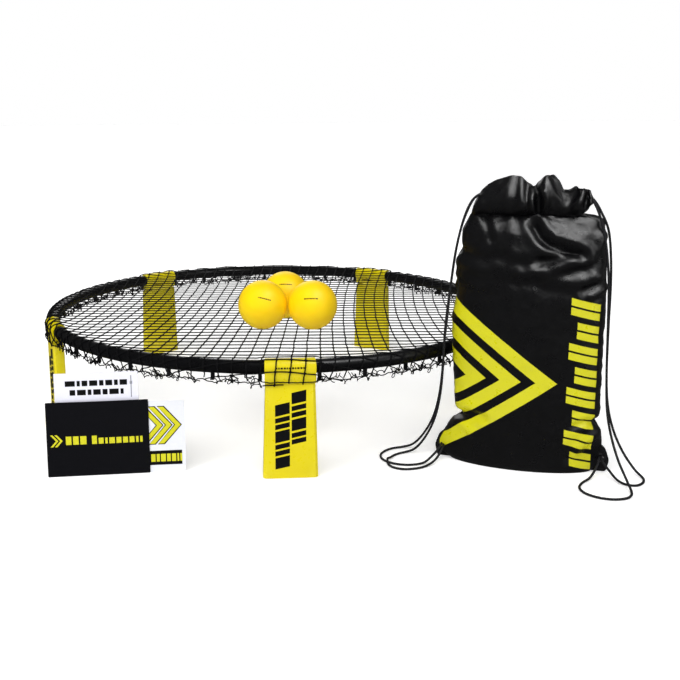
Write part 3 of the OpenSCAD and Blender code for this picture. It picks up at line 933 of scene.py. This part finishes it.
def bag_grid():
    """Grid of the bag's cloth, row by row from the base's middle to inside the mouth (mm).
    Also gives the cloth coordinates of each point, before folds."""
    angle = np.linspace(0, 2 * np.pi, 2 * SIDE_COLS, endpoint=False)
    cx, sy = -np.cos(angle), -np.sin(angle)
    front = sy <= 0
    rows, flat = [], []

    def keep(x, y, z, cloth_z):
        rows.append(np.stack(np.broadcast_arrays(x, y, z), 1))
        flat.append(np.stack(np.broadcast_arrays(x, cloth_z), 1))

    def section(left, right, near, far, power):
        x = (left + right) / 2 + (right - left) / 2 * cx
        return x, np.sign(sy) * np.abs(sy) ** power * np.where(front, near, far)

    base_x, base_y = section(LEFT_EDGE[0][1] + 4, RIGHT_EDGE[0][1] - 4, FRONT_DEPTH[0][1] - 3,
                             BACK_DEPTH[0][1] - 3, 0.8)
    for q in np.linspace(0.04, 0.9, 7):
        keep(base_x, base_y * q, 1.0, -40 * (1 - q))
    for z in np.concatenate([[0.6, 2.5, 5.5], np.arange(9, NECK_Z - 20, 3.2),
                             np.arange(NECK_Z - 20, NECK_Z, 2.0)]):
        lens = exp(-((z - 26) / 26) ** 2)
        x, y = section(along_table(LEFT_EDGE, z, 5), along_table(RIGHT_EDGE, z, 5),
                       along_table(FRONT_DEPTH, z, 6), along_table(BACK_DEPTH, z, 6), 0.8 + lens)
        keep(x, y, z, z)
    hem = 62
    for h in np.concatenate([np.linspace(0, 0.96, HEM_ROWS - 2), [0.99, 1.0]]):
        left = np.interp(h, [0, 0.15, 0.45, 0.75, 0.92, 1], [-93, -93, -91, -86, -80, -72])
        right = np.interp(h, [0, 0.06, 0.3, 0.6, 0.85, 1], [94, 74, 83, 90, 90, 84])
        deep = 4 + 8 * (1 - h) + 14 * sin(pi * h ** 0.8)
        x, _ = section(left, right, 0, 0, 1)
        gathered = right_share(x)
        y = np.sign(sy) * np.abs(sy) ** 0.6 * deep * (1 + 0.16 * (1 - gathered))
        y += (np.where(front, -1, 1) * pleats(x, h, front) * (0.16 + 0.84 * gathered)
              * np.abs(sy) ** 0.5)
        keep(x, y - 5 * gathered * h, NECK_Z + h * (along_table(MOUTH, x, 3) - NECK_Z),
             NECK_Z + h * hem)
    rim_x, rim_y, rim_z = rows[-1].T
    middle = -5 * right_share(rim_x)
    for q in np.linspace(0.12, 1, LIP_ROWS):
        keep(rim_x, middle + (rim_y - middle) * (0.75 - 0.35 * q), rim_z - 26 * q ** 1.3,
             NECK_Z + hem + 26 * q)
    return np.array(rows), np.array(flat), front


def grid_normals(p):
    across = np.roll(p, -1, 1) - np.roll(p, 1, 1)
    up = np.empty_like(p)
    up[1:-1], up[0], up[-1] = p[2:] - p[:-2], p[1] - p[0], p[-1] - p[-2]
    n = np.cross(across, up)
    return n / (np.linalg.norm(n, axis=2, keepdims=True) + 1e-9)


def crumple(p, lift):
    """Adds broad dents, ridges and fine crumples, and sharper creases round the mouth."""
    for i, j in np.ndindex(lift.shape):
        x, _, z = p[i, j]
        r = Vector(p[i, j]) * 0.034
        broad = noise.noise(Vector(p[i, j]) * 0.011 + Vector((3, 0, 0)))
        ridged = 1 - 2 * abs(noise.noise(Vector((r.x * 0.8, r.y, r.z * 1.3 + 5))))
        lift[i, j] += 2.6 * broad + 0.8 * ridged ** 3 + 0.2 * noise.noise(r * 2.6)
        if z > NECK_Z:
            crease = abs(noise.noise(Vector((r.x * 1.5 + 7, r.y, r.z * 1.1))))
            lift[i, j] += 16 * (0.35 + 0.65 * right_share(x)) * (0.25 - crease)


def build_bag():
    p, flat, front = bag_grid()
    n = grid_normals(p)
    x, z = p[:, :, 0], p[:, :, 2]
    lift = np.where(front, fold_height(FOLDS, x, z), fold_height(BACK_FOLDS, x, z))
    crumple(p, lift)
    side = np.minimum(np.abs(x - x.min(1, keepdims=True)), np.abs(x.max(1, keepdims=True) - x))
    lift += 0.45 * bell(side / 12) * np.sin(z / 5.1 + 3.6 * np.sin(z / 31))
    # The left shoulder is fuller than the right one, which slopes back from the fold
    lift += 5.5 * front * ramp(-x, 4, 24) * bell((z - 394) / 17)
    # Radiating gathers below the neck, and nothing where the bag stands on the ground
    gather = ramp(z, 372, 47) * ramp(-z, -NECK_Z - 3, 3)
    lift += 0.7 * gather ** 2 * (1 - 0.8 * ramp(x, -12, 20)) * np.sin(
        2 * np.pi * x / 23 + 2.4 * np.sin(x / 27))
    lift *= ramp(z, 2, 26) * np.where(z > NECK_Z, 0.45, 1)
    p = p + n * lift[:, :, None]
    p[:, :, 2] = np.maximum(p[:, :, 2], 0.7)
    s, cols = Shape(), p.shape[1]
    s.loft([list(map(tuple, row * MM)) for row in p], caps=False)
    obj = s.make("bag_shell", [NYLON], None, 70)
    uv = obj.data.uv_layers.new(name="cloth")
    # The back's cloth lies a metre to the side of the front's, so that its print stays off it
    for poly in obj.data.polygons:
        columns = [v % cols for v in poly.vertices]
        back = min(columns) >= SIDE_COLS or (max(columns) == cols - 1 and min(columns) == 0)
        for loop, v in zip(poly.loop_indices, poly.vertices):
            cloth_x, cloth_z = flat[v // cols, v % cols]
            uv.data[loop].uv = ((1000 - cloth_x if back else cloth_x) * MM, cloth_z * MM)
    obj.data.transform(BAG)
    solid = obj.modifiers.new("cloth", "SOLIDIFY")
    solid.thickness, solid.offset = 0.0009, -1
    finish(obj, "bag", "bag_nylon", "bag_front", "bag_back", "bag_hem")
    return p * MM


SEAM_R, STITCH_R = 0.0011, 0.00045


def build_seams(cloth):
    """Sewn ridges down both sides, a row of stitches beside each, and the channel's row."""
    s = Shape()
    rows, cols, _ = cloth.shape
    top = rows - LIP_ROWS - HEM_ROWS - 2
    for col in (0, SIDE_COLS):
        s.tube(cloth[9:top:2, col], SEAM_R)
    for col in (3, SIDE_COLS - 3, SIDE_COLS + 3, cols - 3):
        for i in range(10, top, 2):
            a, b = Vector(cloth[i, col]), Vector(cloth[i + 1, col])
            s.tube([a, (a + b) / 2, a.lerp(b, 0.85)], STITCH_R, 5)
    channel = cloth[rows - LIP_ROWS - 20]
    for j in range(0, cols, 2):
        a, b = Vector(channel[j]), Vector(channel[(j + 1) % cols])
        s.tube([a, a.lerp(b, 0.8)], STITCH_R, 5)
    finish(s.make("bag_seams", [THREAD], BAG, 60), "bag", "bag_nylon")


build_seams(build_bag())

# Corner patches: outline in mm, towards the side
TAB = [Vector(p) for p in ((101, 1), (137, 1), (141, 20), (134.5, 39), (114, 58), (111, 12))]
TAB_NEXT = TAB[1:] + TAB[:1]
TAB_MIDDLE = Vector((122, 22))
CORNER_R = 4
EYELET_X, EYELET_Z, EYELET_R = 0.128, 0.024, 0.0054


def tab_outline(side):
    """Knots of the outline: two at each rounded corner, with handles towards it."""
    knots = []
    for before, here, after in zip(TAB[-1:] + TAB, TAB, TAB_NEXT):
        for other in (before, after):
            end = here.lerp(other, CORNER_R / (here - other).length)
            bend = end.lerp(here, 0.6)
            knot = (end, end, bend) if other is before else (end, bend, end)
            knots.append([(side * v.x * MM, v.y * MM, 0) for v in knot])
    return knots


def build_tab(side, name):
    curve = bpy.data.curves.new("tab", "CURVE")
    curve.dimensions, curve.fill_mode = "2D", "BOTH"
    curve.extrude, curve.bevel_depth, curve.bevel_resolution = 0.0014, 0.0007, 2
    bezier(curve, tab_outline(side), True)
    hole = [(side * EYELET_X + c, EYELET_Z + d, 0) for c, d in circle(8, EYELET_R)]
    bezier(curve, [(p, p, p) for p in hole], True, "AUTO")
    temp = add_object("tab", curve)
    bpy.context.view_layer.update()
    me = bpy.data.meshes.new_from_object(
        temp.evaluated_get(bpy.context.evaluated_depsgraph_get()))
    bpy.data.objects.remove(temp)
    me.materials.clear()
    me.materials.append(VINYL)
    me.transform(BAG @ turned(90, "X"))
    smooth(me, 35)
    finish(add_object("tab_patch_" + name, me), "bag", "tab_vinyl", "corner_tab_" + name)
    s = Shape()
    face_y, inset, pitch, share, thread_r = 0.00212, 0.16, 3.4, 0.62, 0.00042
    for face in (-1, 1):
        for here, after in zip(TAB, TAB_NEXT):
            a, b = here.lerp(TAB_MIDDLE, inset), after.lerp(TAB_MIDDLE, inset)
            count = max(2, int((b - a).length / pitch))
            for j in range(count):
                s.tube([(side * v.x * MM, face * face_y, v.y * MM)
                        for v in (a.lerp(b, j / count), a.lerp(b, (j + share) / count))],
                       thread_r, 5)
    finish(s.make("tab_stitches_" + name, [THREAD], BAG, 60), "bag", "tab_vinyl")


build_tab(-1, "left")
build_tab(1, "right")
paint(GUNMETAL, "eyelets")


def build_knots():
    """A tied knot behind each eyelet, with the two cut ends."""
    s = Shape()
    for side in (-1, 1):
        at = Vector((side * EYELET_X, 0.0095, EYELET_Z))
        # A trefoil knot, 0.0015 m to the unit
        s.tube([at + 0.0015 * Vector((sin(t) + 2 * sin(2 * t), -1.1 * sin(3 * t),
                                      cos(t) - 2 * cos(2 * t)))
                for t in (2 * pi * k / 72 for k in range(72))], 0.0021, 10, closed=True)
        for dx, dy, dz in ((-2.5, 3.5, -6), (3, 4.5, -5.5)):
            end = at + Vector((dx, dy, dz)) * MM
            s.tube([at, at.lerp(end, 0.5) + Vector((0, 0.0008, 0)), end], 0.0019, 10)
    finish(s.make("knots_tied", [KNOT_BRAID], BAG, 60), "bag", "cord_black", "knots")


build_knots()

# ---- paper pieces

LEAF_W, LEAF_H, CARD_W, CARD_H = 0.135, 0.171, 0.166, 0.124
STICKER_W, STICKER_H, STICKER_X = 0.088, 0.120, 0.098
# Where the back of the card and of the sticker sheet stand, and how thick each is
CARD_BACK, CARD_T, STICKER_BACK, STICKER_T = -0.0018, 0.0009, -0.0006, 0.0005
LEAF_BULGE = 0.0010


def card_bow(x, z):
    """How far the middle of the card stands forward of its flat place."""
    return -0.0016 * cos(pi * x / CARD_W) * sin(pi * z / CARD_H * 0.5)


def sticker_curl(x, z):
    return -0.0012 * max(0, (x - STICKER_X) / STICKER_W * 2) ** 2


def sheet_piece(name, material, size, mid_x, back, thick, bow, radius=0.0015):
    """A thin sheet with rounded corners; bow(x, z) gives its curve."""

    def steps(length, count):
        inner = np.linspace(2.5, length / MM - 2.5, count)
        return np.concatenate([[0, 0.35, 1], inner, length / MM - np.array([1, 0.35, 0])]) * MM

    def pull(a, size_a, b, size_b):
        """Moves a towards the middle near a corner, so that the corner is round."""
        edge = min(b, size_b - b)
        if edge >= radius:
            return a
        cut = radius - sqrt(max(0, radius ** 2 - (radius - edge) ** 2))
        return min(max(a, cut), size_a - cut)

    (w, h), left = size, mid_x - size[0] / 2
    xs, zs = steps(w, 30), steps(h, 24)
    s = Shape()
    s.plate(*[[(left + pull(x, w, z, h), y + bow(left + x, z), z) for z in zs for x in xs]
              for y in (back - thick, back)], len(xs))
    return s.make(name, [material], PAPER)


def build_leaflet():
    """One sheet folded over at the top, so that it stands like a tent."""
    run, rise = LEAF_H * sin(LEAN), LEAF_H * cos(LEAN)
    thick, fold = 0.00035, 0.0009
    outer = [(run * t + LEAF_BULGE * sin(pi * t), rise * t)
             for t in (k / 20 for k in range(20))]
    outer += [(run - fold * cos(a), rise - fold + fold * sin(a))
              for a in (radians(12 + 12 * k) for k in range(14))]
    outer += [(2 * run - run * t, rise * t) for t in (1 - k / 20 for k in range(1, 21))]
    inner = []
    for (y, z), before, after in zip(outer, outer[:1] + outer, outer[1:] + outer[-1:]):
        d = Vector((after[0] - before[0], after[1] - before[1])).normalized()
        inner.append((y + thick * d.y, z - thick * d.x))
    s = Shape()
    s.loft([[(x, y, max(z, 0)) for y, z in outer + inner[::-1]]
            for x in np.linspace(-LEAF_W / 2, LEAF_W / 2, 12)])
    finish(s.make("leaflet_sheet", [PAPER_WHITE], PAPER_AT), "leaflet", "leaflet_paper", "leaflet")


build_leaflet()
finish(sheet_piece("card_sheet", CARD_BLACK, (CARD_W, CARD_H), 0, CARD_BACK, CARD_T, card_bow),
       "card", "card_black", "card")
finish(sheet_piece("sticker_backing", STICKER_WHITE, (STICKER_W, STICKER_H), STICKER_X,
                   STICKER_BACK, STICKER_T, sticker_curl, 0.0022),
       "sticker_sheet", "sticker_white", "sticker_sheet")


def leaf_surface(x, z, lift):
    t = z / LEAF_H
    y = LEAF_H * sin(LEAN) * t + LEAF_BULGE * sin(pi * t)
    return (x, y - lift, LEAF_H * cos(LEAN) * t)


def face_of(front, bow):
    return lambda x, z, lift: (x, front + bow(x, z) - lift, z)


card_surface = face_of(CARD_BACK - CARD_T, card_bow)
sticker_surface = face_of(STICKER_BACK - STICKER_T, sticker_curl)

leaf_print = Shape()
bars(leaf_print, leaf_surface, -50, 149, 9, (16, 5, 9, 13, 7, 11, 6, 12), 3)
bars(leaf_print, leaf_surface, -43, 134, 9, (9, 14, 6, 12, 8, 15, 5), 3)
bars(leaf_print, leaf_surface, 55.5, 128, 38, (1.6,), slot=1)
bars(leaf_print, leaf_surface, 54.3, 150, 5, (4.0,), slot=1)
finish(leaf_print.make("leaflet_print", [INK_BLACK, INK_GREY], PAPER_AT),
       "leaflet", "leaflet_paper")

card_print = Shape()
bars(card_print, card_surface, -52, 53, 14, (9, 9, 10), 2.6)
bars(card_print, card_surface, -10, 53, 14, (8,))
bars(card_print, card_surface, 0.8, 53, 10, (8, 4, 9, 8, 8, 8, 4, 4), 2.6)
for tip in (-61, -68):
    for end_z in (70, 50):
        slab(card_print, card_surface, [(tip - 9, end_z), (tip, 60), (tip + 4, 60),
                                        (tip - 5, end_z)])
finish(card_print.make("card_print", [INK_YELLOW], PAPER), "card", "card_black")

sticker_print = Shape()
for tip in (96, 111, 126):
    # Each chevron is a black one with a slightly smaller yellow one over it
    for slot, grow, over in ((0, 1.3, PRINT_OVER), (1, 0, PRINT_TOP)):
        for up in (1, -1):
            end_z = 79 + (31 + grow) * up
            slab(sticker_print, sticker_surface,
                 [(tip - 28 - grow, end_z), (tip - grow * 1.5, 79), (tip + 9 + grow * 1.5, 79),
                  (tip - 19 + grow, end_z)], slot, (6, 4), over, 0)
slab(sticker_print, sticker_surface, [(60, 12), (136, 12), (136, 36), (60, 36)], 0, (10, 4))
bars(sticker_print, sticker_surface, 85, 17.5, 13, (7, 5, 8, 6, 7, 3, 3), 2, 1, PRINT_TOP)
finish(sticker_print.make("sticker_print", [INK_BLACK, INK_YELLOW], PAPER),
       "sticker_sheet", "sticker_white")

# ---- floor and light

floor_mat = Mat("floor", 0.9, Emission_Color=(1, 1, 1, 1), Emission_Strength=0.33)
floor_mat.colour(floor_mat.mix(floor_mat.noise(0.7), (0.94,) * 3 + (1,), (0.92,) * 3 + (1,)))
bpy.ops.mesh.primitive_plane_add(size=60, location=(0, 0, -0.0005))
floor = bpy.context.object
floor.name = "floor"
floor.data.materials.append(floor_mat.mat)
floor.visible_glossy = False

# A white backdrop to the camera, and only a faint fill to everything else
world = bpy.data.worlds.new("world")
scene.world = world
world.use_nodes = True
sky = world.node_tree.nodes["Background"]
seen = world.node_tree.nodes.new("ShaderNodeLightPath").outputs["Is Camera Ray"]
level = world.node_tree.nodes.new("ShaderNodeMapRange")
level.inputs["To Min"].default_value, level.inputs["To Max"].default_value = 0.09, 1.0
world.node_tree.links.new(seen, level.inputs["Value"])
world.node_tree.links.new(level.outputs["Result"], sky.inputs["Strength"])
sky.inputs["Color"].default_value = (1, 1, 1, 1)
scene.view_settings.view_transform = "Standard"


def add_light(name, kind, place, target, energy, glossy=True, diffuse=True, **facts):
    data = bpy.data.lights.new(name, kind)
    data.energy = energy
    for key, value in facts.items():
        setattr(data, key, value)
    lamp = add_object(name, data)
    lamp.location, lamp.visible_glossy, lamp.visible_diffuse = place, glossy, diffuse
    lamp.rotation_euler = (Vector(target) - Vector(place)).to_track_quat("-Z", "Y").to_euler()


add_light("studio", "SUN", (-0.3, -1.6, 2.7), (0, 0, 0), 2.5, False, angle=radians(60))
add_light("front", "SUN", (0.1, -2.0, 0.45), (0, 0, 0), 0.4, False, angle=radians(40))
add_light("top", "AREA", (0.72, -1.05, 1.75), (0.35, -0.35, 0.3), 22, diffuse=False, size=0.8)
add_light("left", "AREA", (-1.9, -1.9, 1.2), (0, 0, 0.15), 22, False, size=1.2)
add_light("right", "AREA", (2.0, -1.6, 1.0), (0.3, -0.3, 0.2), 6, size=0.9)
add_light("back", "AREA", (-0.2, 2.6, 1.5), (0, 0, 0.15), 16, size=1.6)
